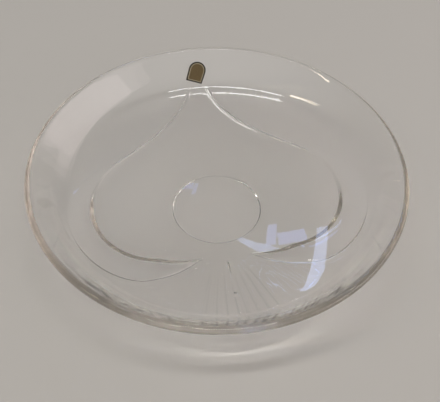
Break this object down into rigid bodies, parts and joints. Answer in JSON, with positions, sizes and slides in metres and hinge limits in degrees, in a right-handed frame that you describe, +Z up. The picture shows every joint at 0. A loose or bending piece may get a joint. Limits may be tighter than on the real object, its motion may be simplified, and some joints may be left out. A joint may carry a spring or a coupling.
{
  "type": "crystal serving bowl",
  "caption": "Shallow round clear crystal bowl with a flat ground base, a flared wall, a rounded rim and a pressed relief of ridges, scoops and a fluted fan underneath.",
  "frame": {"origin": "middle of the flat ground base, where the bowl stands", "axes": "+Z up out of the bowl's mouth; the relief is mirrored across the YZ plane, with its fan towards -Y and its neck and the foil label towards +Y"},
  "size_m": [0.25, 0.25, 0.05],
  "materials": {
    "crystal": "polished clear crystal",
    "adhesive": "clear acrylic adhesive film",
    "foil": "printed foil, dark brown border and dull gold panel"
  },
  "bodies": {
    "root": {"crystal_body": "crystal", "label_adhesive": "adhesive", "label_foil": "foil"}
  },
  "joints": []
}
